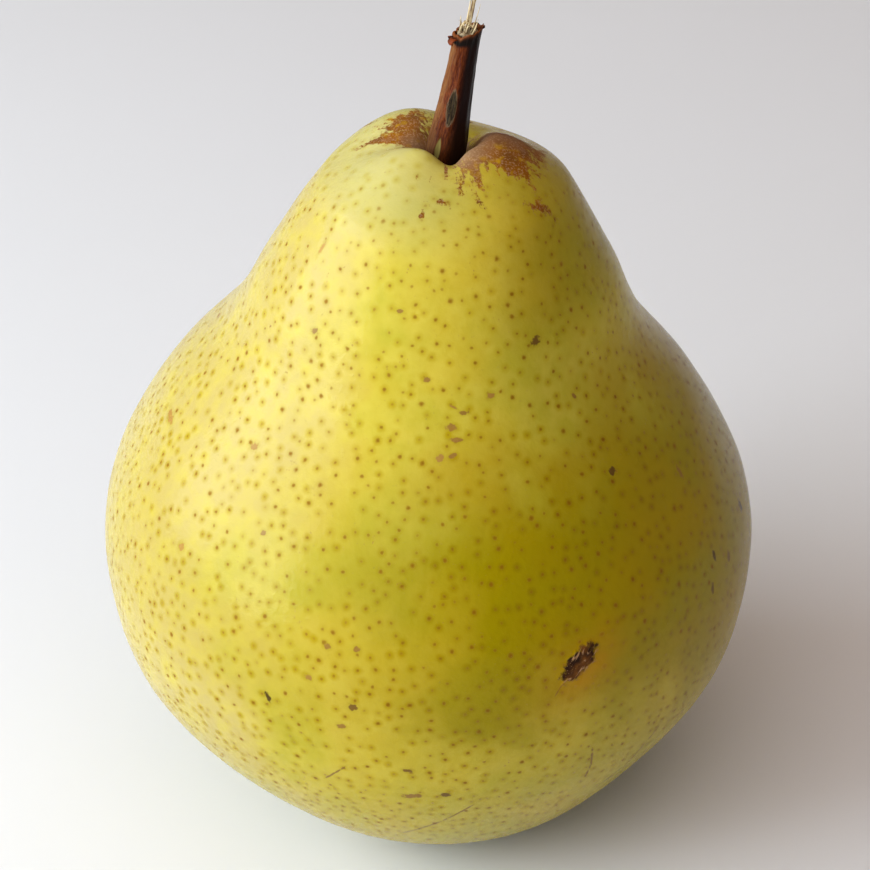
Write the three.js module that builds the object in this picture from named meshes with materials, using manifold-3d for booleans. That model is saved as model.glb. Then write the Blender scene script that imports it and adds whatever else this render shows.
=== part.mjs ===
import * as THREE from "three";
import { mergeVertices } from "three/addons/utils/BufferGeometryUtils.js";
import Module from "manifold-3d";

// A ripe, stout European pear with a short broken stem, standing upright on its five-lobed foot.
// Units are millimetres and +Z is up. The origin is on the surface that the pear stands on, under
// the middle of its girth. Angles are in degrees, anticlockwise from +X seen from above.

// ---------------------------------------------------------------- driving dimensions

// Half outline of the flesh as radius and height, from the calyx basin out, up and in to the top.
const OUTLINE = [
  [0, 7],
  [4, 6.3],
  [8.5, 2.6],
  [13.5, 0.2],
  [21, 4.2],
  [30.2, 12.4],
  [36.6, 21.8],
  [38.9, 32.2],
  [37.8, 42.7],
  [32.2, 53.4],
  [24.6, 63.4],
  [20.5, 71.8],
  [15.8, 80.1],
  [12.6, 83.4],
  [6, 85.4],
  [2.6, 85.9],
  [0, 85.9],
];
const OUTLINE_STEPS = 64;
const FRUIT_SIDES = 60;

// The middle line runs straight up from the girth, and drifts towards +X below and above it.
const CORE = { girth: 32, top: 84, footDrift: 3.1, neckDrift: 2 };

// Places where the flesh swells out, or draws in, sideways, each fading with angle and height.
const SWELLINGS = [
  { angle: 138, width: 28, height: 50, reach: 10, out: 1.4 },
  { angle: -90, width: 30, height: 6, reach: 7, out: 2.2 },
  { angle: -40, width: 26, height: 13, reach: 9, out: -1 },
];
const FULL_SWELLING_RADIUS = 12;

// Round mounds that stand about the stem, placed from the middle line in plan.
const MOUNDS = [
  { x: -4.6, y: 7.2, rise: 2.9, reach: 4.6 },
  { x: 6, y: -1.6, rise: 3.2, reach: 4.2 },
  { x: -4.8, y: -4.4, rise: 2.3, reach: 3.8 },
];
// Valleys that run out from the stem between the mounds.
const VALLEYS = [
  { angle: -80, depth: 1.6, width: 1.1, start: 1, end: 7 },
  { angle: 176, depth: 1, width: 1.2, start: 2, end: 11 },
  { angle: 52, depth: 1, width: 1.6, start: 1, end: 9 },
];
const WELL = { depth: 5.4, reach: 2.8 };
const TOP_BEGINS = 66;
const TOP_FULL = 80;

// The foot: five low lobes round the calyx basin, cut flat where they meet the surface.
const FOOT = { lobes: 5, turn: 18, radius: 13.5, reach: 4.5, rise: 1.5, sink: 0.8, height: 12 };

// The stem as radius and height, from its root in the flesh to the torn, hollow end.
const STEM_OUTLINE = [
  [0, 79.6],
  [1.1, 79.7],
  [1.7, 80.6],
  [2.1, 83.2],
  [2.27, 86.2],
  [2.08, 89.3],
  [1.85, 92.2],
  [1.68, 95],
  [1.5, 97.8],
  [1.5, 99.8],
  [1.95, 101.2],
  [1.5, 101.3],
  [1.25, 100.4],
  [0, 100.2],
];
const STEM_STEPS = 40;
const STEM_SIDES = 26;
const STEM_FOOT = { x: 2.05, z: 86.8 };
const STEM_LEAN = 0.163;
const STEM_RIDGES = [
  { count: 3, height: 0.1, twist: 3 },
  { count: 7, height: 0.06, twist: -5 },
];
// The torn rim stands high towards one side and is pulled down on the other.
const RIM = { begins: 99.4, full: 101, highSide: -10, tilt: 0.55, ragged: 0.25, teeth: 7 };

// Pale torn wood in the hollow end of the stem, with loose fibres that stand out of it.
const WOOD = { radius: 0.9, bottom: 100.6, top: 102 };
const FIBRES = { count: 11, root: 0.32, tip: 0.2, sides: 6, steps: 6, spread: 0.5, sunk: 0.7 };
const FIBRE_LENGTH = { shortest: 3.2, longest: 7.4 };
const FIBRE_BEND = 1.6;
const SEED = 11;

// Dried calyx in the basin under the fruit: a short cup with five curled sepals.
const CALYX_OUTLINE = [
  [0, 5.4],
  [1.3, 4.9],
  [2.1, 4.7],
  [2.4, 5.6],
  [2.2, 8.6],
  [0, 8.6],
];
const CALYX_SIDES = 20;
const SEPAL = { count: 5, length: 3.6, width: 2.6, thick: 0.7, root: 1.7, top: 5.6, droop: 0.16 };

// Clear space round the root of the stem and the calyx, which sit in the flesh.
const GAP = 0.3;
const SOCKET_TOP = 89;

const COLOURS = {
  skin: "#c9bf33",
  bark: "#5a2a17",
  wood: "#cdb88c",
  calyx: "#4a3524",
};

// ---------------------------------------------------------------- small helpers

const bell = (distance, reach) => Math.exp(-0.5 * (distance / reach) ** 2);
const radians = THREE.MathUtils.degToRad;
const { clamp, smoothstep } = THREE.MathUtils;

// Smallest turn between two directions, in degrees.
function turnBetween(a, b) {
  return THREE.MathUtils.euclideanModulo(a - b + 180, 360) - 180;
}

// Joins the vertices that faces share, which a solid needs.
function weld(geometry) {
  const bare = geometry.clone();
  bare.deleteAttribute("normal");
  bare.deleteAttribute("uv");
  return mergeVertices(bare, 1e-4);
}

// Moves every vertex to where the rule puts it.
function moveVertices(geometry, rule) {
  const position = geometry.getAttribute("position");
  const point = new THREE.Vector3();
  for (let i = 0; i < position.count; i += 1) {
    point.fromBufferAttribute(position, i);
    rule(point);
    position.setXYZ(i, point.x, point.y, point.z);
  }
  return geometry;
}

// Turns an outline of radius and height about +Z.
function turned(points, sides) {
  const outline = points.map(([radius, height]) => new THREE.Vector2(radius, height));
  return weld(new THREE.LatheGeometry(outline, sides).rotateX(Math.PI / 2));
}

// Smooth outline through the given points.
function smoothOutline(points, steps) {
  const curve = new THREE.SplineCurve(points.map(([radius, height]) => new THREE.Vector2(radius, height)));
  return curve.getPoints(steps).map((point) => [Math.max(point.x, 0), point.y]);
}

// Repeatable random numbers from 0 to 1.
function seededRandom(seed) {
  let state = seed;
  return () => {
    state = (state * 1664525 + 1013904223) % 4294967296;
    return state / 4294967296;
  };
}

// ---------------------------------------------------------------- solids

const wasm = await Module();
wasm.setup();

function solid(geometry) {
  return new wasm.Manifold(
    new wasm.Mesh({
      numProp: 3,
      vertProperties: new Float32Array(geometry.getAttribute("position").array),
      triVerts: new Uint32Array(geometry.index.array),
    }),
  );
}

// The largest body alone, with any pocket that the joined pieces closed off filled in.
function outerBody(joined) {
  const bodies = joined.decompose();
  return bodies.reduce((largest, body) => (body.volume() > largest.volume() ? body : largest));
}

function piece(name, body, colour, roughness) {
  const mesh = body.getMesh();
  const geometry = new THREE.BufferGeometry();
  geometry.setAttribute("position", new THREE.BufferAttribute(mesh.vertProperties, 3));
  geometry.setIndex(new THREE.BufferAttribute(mesh.triVerts, 1));
  const faceted = geometry.toNonIndexed();
  faceted.computeVertexNormals();
  const made = new THREE.Mesh(
    faceted,
    new THREE.MeshStandardMaterial({ color: colour, roughness, metalness: 0 }),
  );
  made.name = name;
  return made;
}

// ---------------------------------------------------------------- fruit

// How far the middle line of the flesh lies towards +X at a height.
function coreDrift(height) {
  if (height < CORE.girth) return CORE.footDrift * ((CORE.girth - height) / CORE.girth) ** 2;
  return CORE.neckDrift * ((height - CORE.girth) / (CORE.top - CORE.girth)) ** 2;
}

// Extra radius of the flesh in one direction at a height.
function swelling(angle, height, radius) {
  const total = SWELLINGS.reduce((sum, place) => {
    const sideways = bell(turnBetween(angle, place.angle), place.width);
    return sum + place.out * sideways * bell(height - place.height, place.reach);
  }, 0);
  return total * clamp(radius / FULL_SWELLING_RADIUS, 0, 1);
}

// Height of the mounds, valleys and stem well at a place in plan round the middle line.
function topRelief(x, y) {
  let relief = -WELL.depth * Math.exp(-((Math.hypot(x, y) / WELL.reach) ** 2));
  for (const mound of MOUNDS) {
    relief += mound.rise * bell(Math.hypot(x - mound.x, y - mound.y), mound.reach);
  }
  for (const valley of VALLEYS) {
    const direction = radians(valley.angle);
    const along = x * Math.cos(direction) + y * Math.sin(direction);
    const across = y * Math.cos(direction) - x * Math.sin(direction);
    const fade = 1 - smoothstep(along, valley.end * 0.3, valley.end);
    relief -= valley.depth * bell(across, valley.width) * smoothstep(along, 0, valley.start) * fade;
  }
  return relief;
}

// Height of the lobes of the foot, which the surface then cuts flat.
function footRelief(angle, radius) {
  const between = 0.5 - 0.5 * Math.cos(FOOT.lobes * radians(angle - FOOT.turn));
  return (FOOT.rise * between - FOOT.sink) * bell(radius - FOOT.radius, FOOT.reach);
}

function shapeFlesh(point) {
  const angle = THREE.MathUtils.radToDeg(Math.atan2(point.y, point.x));
  const radius = Math.hypot(point.x, point.y);
  const height = point.z;
  const grown = radius > 0 ? 1 + swelling(angle, height, radius) / radius : 1;
  const x = point.x * grown;
  const y = point.y * grown;
  let z = height + smoothstep(height, TOP_BEGINS, TOP_FULL) * topRelief(x, y);
  if (height < FOOT.height) z += footRelief(angle, radius);
  point.set(x + coreDrift(height), y, Math.max(z, 0));
}

function fleshSolid() {
  const outline = smoothOutline(OUTLINE, OUTLINE_STEPS);
  return solid(moveVertices(turned(outline, FRUIT_SIDES), shapeFlesh));
}

// ---------------------------------------------------------------- stem

function stemDrift(height) {
  return STEM_FOOT.x + STEM_LEAN * (height - STEM_FOOT.z);
}

function shapeStem(point) {
  const angle = Math.atan2(point.y, point.x);
  const radius = Math.hypot(point.x, point.y);
  const ridge = STEM_RIDGES.reduce(
    (sum, { count, height, twist }) => sum + height * Math.cos(count * angle + radians(twist * point.z)),
    0,
  );
  const grown = radius > 0 ? 1 + (ridge * clamp(radius, 0, 1)) / radius : 1;
  const torn = RIM.tilt * Math.cos(angle - radians(RIM.highSide)) + RIM.ragged * Math.sin(RIM.teeth * angle);
  const atRim = smoothstep(point.z, RIM.begins, RIM.full) * smoothstep(radius, 1, 1.8);
  const x = point.x * grown + stemDrift(point.z);
  point.set(x, point.y * grown, point.z + torn * atRim);
}

function stemSolid() {
  const outline = smoothOutline(STEM_OUTLINE, STEM_STEPS);
  return solid(moveVertices(turned(outline, STEM_SIDES), shapeStem));
}

// Hole that the root of the stem stands in: its own outline set back by the gap, open at the top.
function stemSocket() {
  const ridges = STEM_RIDGES.reduce((sum, { height }) => sum + height, 0);
  const clear = ridges + GAP;
  const root = STEM_OUTLINE.filter(([, height]) => height < SOCKET_TOP);
  const wall = root.slice(1).map(([radius, height]) => [radius + clear, height - GAP]);
  const widest = wall[wall.length - 1][0];
  const outline = [[0, wall[0][1]], ...wall, [widest, SOCKET_TOP], [0, SOCKET_TOP]];
  return solid(
    moveVertices(turned(outline, STEM_SIDES), (point) => {
      point.x += stemDrift(point.z);
    }),
  );
}

// ---------------------------------------------------------------- torn wood of the stem

// One loose fibre that stands up from the torn wood, leaning and bending by its own draw.
function fibre(random, index) {
  const length = FIBRE_LENGTH.shortest + (FIBRE_LENGTH.longest - FIBRE_LENGTH.shortest) * random();
  const round = (index / FIBRES.count) * 2 * Math.PI + random();
  const out = FIBRES.spread * Math.sqrt(random());
  const bend = FIBRE_BEND * (random() - 0.35);
  const drift = stemDrift(WOOD.top);
  const shaft = new THREE.CylinderGeometry(FIBRES.tip, FIBRES.root, length, FIBRES.sides, FIBRES.steps);
  const upright = weld(shaft.rotateX(Math.PI / 2).translate(0, 0, length / 2));
  return solid(
    moveVertices(upright, (point) => {
      const along = point.z / length;
      const reach = out + bend * along ** 2;
      const x = drift + point.x + Math.cos(round) * reach + STEM_LEAN * point.z;
      point.set(x, point.y + Math.sin(round) * reach, point.z + WOOD.top - FIBRES.sunk);
    }),
  );
}

function tornWoodSolid() {
  const random = seededRandom(SEED);
  const plug = [
    [0, WOOD.bottom],
    [WOOD.radius, WOOD.bottom],
    [WOOD.radius, WOOD.top - 0.2],
    [WOOD.radius - 0.3, WOOD.top],
    [0, WOOD.top],
  ];
  const core = solid(
    moveVertices(turned(plug, CALYX_SIDES), (point) => {
      point.x += stemDrift(point.z);
    }),
  );
  const fibres = Array.from({ length: FIBRES.count }, (_, index) => fibre(random, index));
  return outerBody(fibres.reduce((wood, next) => wood.add(next), core));
}

// ---------------------------------------------------------------- calyx

const calyxTop = Math.max(...CALYX_OUTLINE.map(([, height]) => height));
const calyxDrift = coreDrift(calyxTop);

// One dried sepal, a pointed blade that leans out of the cup and curls towards its tip.
function sepal(index) {
  const blade = new THREE.Shape();
  blade.moveTo(0, -SEPAL.width / 2);
  blade.quadraticCurveTo(SEPAL.length * 0.7, -SEPAL.width / 2, SEPAL.length, 0);
  blade.quadraticCurveTo(SEPAL.length * 0.7, SEPAL.width / 2, 0, SEPAL.width / 2);
  const flat = new THREE.ExtrudeGeometry(blade, {
    depth: SEPAL.thick,
    steps: 1,
    curveSegments: 5,
    bevelEnabled: false,
  });
  const bent = moveVertices(weld(flat), (point) => {
    const out = point.x;
    point.z += SEPAL.top - SEPAL.thick - 0.35 * out - SEPAL.droop * (out - 1) ** 2;
    point.x += SEPAL.root;
  });
  return solid(bent.rotateZ((index / SEPAL.count) * 2 * Math.PI).translate(calyxDrift, 0, 0));
}

function calyxSolid() {
  const body = solid(turned(CALYX_OUTLINE, CALYX_SIDES).translate(calyxDrift, 0, 0));
  const sepals = Array.from({ length: SEPAL.count }, (_, index) => sepal(index));
  return sepals.reduce((calyx, next) => calyx.add(next), body);
}

function calyxSocket() {
  const radius = Math.max(...CALYX_OUTLINE.map(([outer]) => outer)) + GAP;
  const top = calyxTop + GAP;
  const outline = [
    [0, 0.5],
    [radius, 0.5],
    [radius, top],
    [0, top],
  ];
  return solid(turned(outline, CALYX_SIDES).translate(calyxDrift, 0, 0));
}

// ---------------------------------------------------------------- the pear

const pear = new THREE.Group();
pear.name = "pear";
pear.add(piece("fruit", fleshSolid().subtract(stemSocket()).subtract(calyxSocket()), COLOURS.skin, 0.45));
pear.add(piece("stem", stemSolid(), COLOURS.bark, 0.5));
pear.add(piece("torn_fibres", tornWoodSolid(), COLOURS.wood, 0.8));
pear.add(piece("calyx", calyxSolid(), COLOURS.calyx, 0.85));

export default pear;
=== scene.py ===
import itertools
import math
import random

import bmesh
import bpy
from mathutils import Matrix, Vector, noise
from mathutils.kdtree import KDTree


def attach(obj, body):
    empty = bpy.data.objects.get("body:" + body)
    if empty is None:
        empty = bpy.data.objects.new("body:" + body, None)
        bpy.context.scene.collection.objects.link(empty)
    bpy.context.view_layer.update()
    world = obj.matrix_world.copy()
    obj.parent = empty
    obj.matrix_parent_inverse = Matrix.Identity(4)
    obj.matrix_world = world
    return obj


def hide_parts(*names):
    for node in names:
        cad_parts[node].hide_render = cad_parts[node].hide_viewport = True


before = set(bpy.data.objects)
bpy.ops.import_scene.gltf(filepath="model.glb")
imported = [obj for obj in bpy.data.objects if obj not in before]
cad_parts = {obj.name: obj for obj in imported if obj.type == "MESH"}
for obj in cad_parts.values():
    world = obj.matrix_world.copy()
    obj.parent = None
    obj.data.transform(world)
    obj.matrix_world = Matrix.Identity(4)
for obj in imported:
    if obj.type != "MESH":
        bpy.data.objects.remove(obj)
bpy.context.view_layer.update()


# ---- Camera ----
# A long lens a little over a third of a metre away. It looks down on the pear from the side of the
# corky scar, so that the stem stands near the top of the view.

MM = 0.001
AIM = Vector((0.75, 0, 48.1)) * MM
CAMERA_DISTANCE = 375 * MM
CAMERA_ABOVE = math.radians(33)

lens = bpy.data.cameras.new("long_lens")
lens.lens = 130
lens.sensor_width = 36
camera = bpy.data.objects.new("camera", lens)
camera.location = AIM + CAMERA_DISTANCE * Vector((0, -math.cos(CAMERA_ABOVE), math.sin(CAMERA_ABOVE)))
camera.rotation_euler = (math.pi / 2 - CAMERA_ABOVE, 0, 0)
bpy.context.collection.objects.link(camera)
bpy.context.scene.camera = camera
bpy.context.scene.view_settings.view_transform = "Standard"


# ---- Table and light ----
# The pear stands on matt white board that curves up into a wall all round. A wide window to its left
# gives the cool main light, and a warm pale ceiling fills the side turned away from it.

FLOOR_RADIUS, CURVE_RADIUS, WALL_TOP = 900 * MM, 500 * MM, 1300 * MM
CURVE_STEPS, BOARD_SIDES = 12, 96
BOARD, BOARD_MOTTLE = "#DEDEE1", "#DADADD"
MOTTLES_A_METRE = 9


def colour(code):
    """The linear colour that shaders read, from an sRGB hex value."""
    channels = [int(code[i:i + 2], 16) / 255 for i in (1, 3, 5)]
    linear = [c / 12.92 if c <= 0.04045 else ((c + 0.055) / 1.055) ** 2.4 for c in channels]
    return (*linear, 1)


def add_node(tree, kind, inputs=None, **settings):
    """Adds a node. An input is linked where it is given a socket, and set where it is given a value."""
    node = tree.nodes.new(kind)
    for name, value in settings.items():
        setattr(node, name, value)
    for name, value in (inputs or {}).items():
        if isinstance(value, bpy.types.NodeSocket):
            tree.links.new(value, node.inputs[name])
        else:
            node.inputs[name].default_value = value
    return node


def new_finish(name, **shader_values):
    """A material with one Principled shader, whose constant values are set on the shader itself."""
    finish = bpy.data.materials.new(name)
    finish.use_nodes = True
    tree = finish.node_tree
    tree.nodes.clear()
    names = {key.replace("_", " ").title().replace("Ior", "IOR"): value
             for key, value in shader_values.items()}
    shader = add_node(tree, "ShaderNodeBsdfPrincipled", names)
    add_node(tree, "ShaderNodeOutputMaterial", {"Surface": shader.outputs[0]})
    return finish, tree, shader


def shown(name, mesh, finish, scale=MM):
    """Turns a bmesh in millimetres into an object at the origin, smooth and in metres."""
    bmesh.ops.scale(mesh, vec=(scale, scale, scale), verts=mesh.verts)
    data = bpy.data.meshes.new(name)
    mesh.to_mesh(data)
    mesh.free()
    data.shade_smooth()
    data.materials.append(finish)
    piece = bpy.data.objects.new(name, data)
    bpy.context.collection.objects.link(piece)
    return piece


def white_board():
    """Matt coated board: nearly white, with a faint mottle that only shows close to."""
    finish, tree, shader = new_finish("white_board", roughness=0.75)
    place = add_node(tree, "ShaderNodeTexCoord").outputs["Object"]
    mottle = add_node(tree, "ShaderNodeTexNoise", {"Vector": place, "Scale": MOTTLES_A_METRE, "Detail": 3})
    shade = add_node(tree, "ShaderNodeMix", {0: mottle.outputs[0], 6: colour(BOARD), 7: colour(BOARD_MOTTLE)},
                     data_type="RGBA")
    tree.links.new(shade.outputs[2], shader.inputs["Base Color"])
    return finish


def turned(outline, sides, weld=0.0005):
    """Spins an outline of radius and height round +Z into one skin with no seam."""
    mesh = bmesh.new()
    points = [mesh.verts.new((max(radius, 0), 0, height)) for radius, height in outline]
    for lower, upper in itertools.pairwise(points):
        mesh.edges.new((lower, upper))
    bmesh.ops.spin(mesh, geom=mesh.verts[:] + mesh.edges[:], cent=(0, 0, 0), axis=(0, 0, 1),
                   angle=2 * math.pi, steps=sides, use_merge=True)
    bmesh.ops.remove_doubles(mesh, verts=mesh.verts, dist=weld)
    bmesh.ops.recalc_face_normals(mesh, faces=mesh.faces)
    # The spin leaves its edges and faces in a different order each time, so they are put in order here.
    mesh.verts.index_update()
    for parts in (mesh.edges, mesh.faces):
        parts.sort(key=lambda part: min(vert.index for vert in part.verts) * len(mesh.verts)
                   + max(vert.index for vert in part.verts))
    return mesh


curve = [(FLOOR_RADIUS + CURVE_RADIUS * math.sin(math.pi / 2 * step / CURVE_STEPS),
          CURVE_RADIUS * (1 - math.cos(math.pi / 2 * step / CURVE_STEPS)))
         for step in range(CURVE_STEPS + 1)]
board = turned([(0, 0), *curve, (FLOOR_RADIUS + CURVE_RADIUS, WALL_TOP)], BOARD_SIDES, weld=MM)
bmesh.ops.reverse_faces(board, faces=board.faces)
table = shown("table", board, white_board(), scale=1)


def window(name, place, width, height, watts, tint, spread=180):
    """A soft rectangular light that faces the pear. A narrow spread keeps it off the board beside it."""
    lamp = bpy.data.lights.new(name, "AREA")
    lamp.shape = "RECTANGLE"
    lamp.size = width
    lamp.size_y = height
    lamp.energy = watts
    lamp.color = colour(tint)[:3]
    lamp.spread = math.radians(spread)
    light = bpy.data.objects.new(name, lamp)
    light.location = place
    light.rotation_euler = (AIM - Vector(place)).to_track_quat("-Z", "Y").to_euler()
    bpy.context.collection.objects.link(light)


window("wide_window", (-0.5, -0.09, 0.27), 0.55, 0.36, 2.85, "#E6F7FF", spread=140)
window("bright_pane", (-0.42, -0.25, 0.17), 0.14, 0.22, 0.35, "#EFF7FF", spread=140)
window("pale_wall_in_front", (-0.42, -0.55, 0.5), 0.8, 0.8, 3.2, "#EFF7FF")
window("warm_ceiling", (-0.1, 0, 0.9), 1.3, 1.2, 4.3, "#FFE8D6")
window("ceiling_in_front", (0, -0.55, 0.75), 1.1, 0.4, 1.4, "#FFE5D0")

room = bpy.data.worlds.new("dim_room")
room.use_nodes = True
room.node_tree.nodes["Background"].inputs["Color"].default_value = colour("#FFE3C6")
room.node_tree.nodes["Background"].inputs["Strength"].default_value = 0.01
bpy.context.scene.world = room


# ---- Fruit: form ----
# The flesh of a stout European pear with its skin, one piece. It grew round the stem in uneven
# mounds, swells out at one shoulder, and stands on the five low lobes round its dried flower.

OUTLINE = [(0, 7), (4, 6.3), (8.5, 2.6), (13.5, 0.2), (21, 4.2), (30.2, 12.4), (36.6, 21.8), (38.9, 32.2),
           (37.8, 42.7), (32.2, 53.4), (24.6, 63.4), (20.5, 71.8), (15.8, 80.1), (12.6, 83.4), (6, 85.4),
           (2.6, 85.9), (0, 85.9)]
OUTLINE_ROWS = 176
FRUIT_SIDES = 288
GIRTH_HEIGHT = 32
CORE_TOP = 84
FOOT_DRIFT = 3.1
NECK_DRIFT = 2
SWELLINGS = [  # angle, width in degrees, height, reach, out
    (138, 28, 50, 10, 1.4),
    (-90, 30, 6, 7, 2.2),
    (-40, 26, 13, 9, -1),
    (-72, 17, 63, 13, 0.9),
    (-82, 38, 46, 9, 0.7),
]
MOUNDS = [  # x and y from the middle line, rise, reach
    (-4.6, 7.2, 2.9, 4.6),
    (6, -1.6, 3.2, 4.2),
    (-4.8, -4.4, 2.3, 3.8),
    (1.7, -3.1, 0.9, 1.1),
    (-2.2, -3.1, 0.6, 1.3),
]
VALLEY_FADES_FROM = 0.3  # of the way to its end
VALLEYS = [  # angle, depth, width, start, end
    (-80, 1.6, 1.1, 1, 7),
    (176, 1, 1.2, 2, 11),
    (52, 1, 1.6, 1, 9),
]
WELL_DEPTH = 5.4
WELL_REACH = 2.8
TOP_BEGINS, TOP_FULL = 66, 80
LOBES, LOBE_TURN, LOBE_RADIUS, LOBE_REACH, LOBE_RISE, LOBE_SINK, LOBE_TOP = 5, 18, 13.5, 4.5, 1.5, 0.8, 12
LUMP_SIZE, LUMP_HEIGHT = 14, 0.22
RIPPLE_SIZE, RIPPLE_HEIGHT = 4.5, 0.05
LUMPS_BEGIN, LUMPS_FULL = 1.5, 8  # heights, so that the foot stands evenly
FULL_SWELLING_RADIUS, FULL_LUMP_RADIUS = 12, 4  # both fade from here to the middle line
LEAST_RADIUS = 0.01  # keeps the middle line itself in place


def bell(distance, reach):
    return math.exp(-0.5 * (distance / reach) ** 2)


def rise_between(low, high, value):
    """0 below low and 1 above high, with a smooth rise between."""
    share = min(max((value - low) / (high - low), 0), 1)
    return share * share * (3 - 2 * share)


def turn_between(a, b):
    return (a - b + 180) % 360 - 180


def smooth_outline(points, rows):
    """Evenly counted points of a Catmull-Rom curve through the outline."""
    last = len(points) - 1
    curve = []
    for row in range(rows + 1):
        k = min(row * last // rows, last - 1)
        t = row * last / rows - k
        corners = [points[max(k - 1, 0)], points[k], points[k + 1], points[min(k + 2, last)]]
        curve.append(tuple(
            0.5 * (2 * b + (c - a) * t + (2 * a - 5 * b + 4 * c - d) * t ** 2
                   + (3 * b - a - 3 * c + d) * t ** 3)
            for a, b, c, d in zip(*corners)
        ))
    return curve


def core_drift(height):
    """How far the middle line lies towards +X at a height."""
    if height < GIRTH_HEIGHT:
        return FOOT_DRIFT * ((GIRTH_HEIGHT - height) / GIRTH_HEIGHT) ** 2
    return NECK_DRIFT * ((height - GIRTH_HEIGHT) / (CORE_TOP - GIRTH_HEIGHT)) ** 2


def top_relief(x, y):
    """Height of the mounds, valleys and stem well at a place in plan."""
    relief = -WELL_DEPTH * math.exp(-(math.hypot(x, y) / WELL_REACH) ** 2)
    for mound_x, mound_y, rise, reach in MOUNDS:
        relief += rise * bell(math.hypot(x - mound_x, y - mound_y), reach)
    for angle, depth, width, start, end in VALLEYS:
        along = x * math.cos(math.radians(angle)) + y * math.sin(math.radians(angle))
        across = y * math.cos(math.radians(angle)) - x * math.sin(math.radians(angle))
        fade = 1 - rise_between(end * VALLEY_FADES_FROM, end, along)
        relief -= depth * bell(across, width) * rise_between(0, start, along) * fade
    return relief


def shape_flesh(point):
    """Where a point of the plain turned form lies on the grown fruit, in millimetres."""
    x, y, height = point
    angle = math.degrees(math.atan2(y, x))
    radius = math.hypot(x, y)
    out = sum(most * bell(turn_between(angle, at), width) * bell(height - level, reach)
              for at, width, level, reach, most in SWELLINGS)
    lumps = noise.noise(Vector(point) / LUMP_SIZE) * LUMP_HEIGHT
    ripples = noise.noise(Vector(point) / RIPPLE_SIZE) * RIPPLE_HEIGHT
    settled = rise_between(LUMPS_BEGIN, LUMPS_FULL, height)
    uneven = (lumps + ripples) * settled * min(radius / FULL_LUMP_RADIUS, 1)
    grown = 1 + (out * min(radius / FULL_SWELLING_RADIUS, 1) + uneven) / max(radius, LEAST_RADIUS)
    x *= grown
    y *= grown
    z = height + rise_between(TOP_BEGINS, TOP_FULL, height) * top_relief(x, y)
    if height < LOBE_TOP:
        between = 0.5 - 0.5 * math.cos(LOBES * math.radians(angle - LOBE_TURN))
        z += (LOBE_RISE * between - LOBE_SINK) * bell(radius - LOBE_RADIUS, LOBE_REACH)
    return Vector((x + core_drift(height), y, max(z, 0)))


outline = smooth_outline(OUTLINE, OUTLINE_ROWS)
flesh = turned(outline, FRUIT_SIDES)
for vert in flesh.verts:
    vert.co = shape_flesh(vert.co)


# ---- Fruit: corky scar ----
# A twig rubbed the young fruit here. The wound closed with cracked brown cork that stands a little
# proud, so the skin is divided finely round it and raised.

SCAR_DIRECTION, SCAR_HEIGHT, SCAR_TURN = -64.6, 40.7, 41
SCAR_HALF_LENGTH, SCAR_HALF_WIDTH = 2.9, 1.5
SCAR_SURROUND = 4.6
SCAR_CUTS = 6
SCAR_EASING = 5
CORK_RISE, CORK_BASE = 0.28, 0.3  # the whole rise, and the share of it between the ridges
CORK_EDGE_RAGGED, CORK_EDGE_SCALE = 0.24, 1.3
CORK_FULL, CORK_ENDS = 0.6, 1.2
RIDGE_SHARPNESS, RIDGES_ALONG, RIDGES_ACROSS = 7, 0.4, 2.4
HALO_LENGTH, HALO_WIDTH, HALO_SHIFT = 3.4, 2, -1.5
LOWEST_ROW = min(range(OUTLINE_ROWS), key=lambda row: outline[row][1])


def skin_place(direction, height):
    """The place on the outer skin in a direction from the middle line, at a height."""
    row = next(i for i in range(LOWEST_ROW, OUTLINE_ROWS) if outline[i + 1][1] >= height)
    (low_radius, low), (high_radius, high) = outline[row:row + 2]
    radius = low_radius + (high_radius - low_radius) * (height - low) / (high - low)
    angle = math.radians(direction)
    return shape_flesh((radius * math.cos(angle), radius * math.sin(angle), height))


def skin_frame(direction, height, turn):
    """A place on the skin and two directions in it: one turned up from level, and one across that."""
    place = skin_place(direction, height)
    level = (skin_place(direction + 1, height) - place).normalized()
    outward = level.cross(skin_place(direction, height + 0.5) - place).normalized()
    along = Matrix.Rotation(math.radians(turn), 3, outward) @ level
    return place, along, outward.cross(along), outward


def cork(along, across):
    """Cover, ridge and halo of the scar at a place in its own plan, each from 0 to 1."""
    ragged = CORK_EDGE_RAGGED * noise.noise(Vector((along, across, 5)) * CORK_EDGE_SCALE)
    edge = math.hypot(along / SCAR_HALF_LENGTH, across / SCAR_HALF_WIDTH) + ragged
    ridge_noise = noise.noise(Vector((along * RIDGES_ALONG, across * RIDGES_ACROSS + 0.3, 2)))
    ridge = 1 - RIDGE_SHARPNESS * abs(ridge_noise)
    halo = bell(math.hypot(along / HALO_LENGTH, (across - HALO_SHIFT) / HALO_WIDTH), 1)
    return 1 - rise_between(CORK_FULL, CORK_ENDS, edge), max(ridge, 0), halo


scar_place, scar_along, scar_across, scar_outward = skin_frame(SCAR_DIRECTION, SCAR_HEIGHT, SCAR_TURN)
around_scar = [face for face in flesh.faces
               if (face.calc_center_median() - scar_place).length < SCAR_SURROUND]
scar_edges = dict.fromkeys(edge for face in around_scar for edge in face.edges)
fine = bmesh.ops.subdivide_edges(flesh, edges=list(scar_edges), cuts=SCAR_CUTS, use_grid_fill=True)
fine_verts = [part for part in fine["geom_inner"] if isinstance(part, bmesh.types.BMVert)]
for _ in range(SCAR_EASING):
    bmesh.ops.smooth_vert(flesh, verts=fine_verts, factor=0.5,
                          use_axis_x=True, use_axis_y=True, use_axis_z=True)

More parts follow.
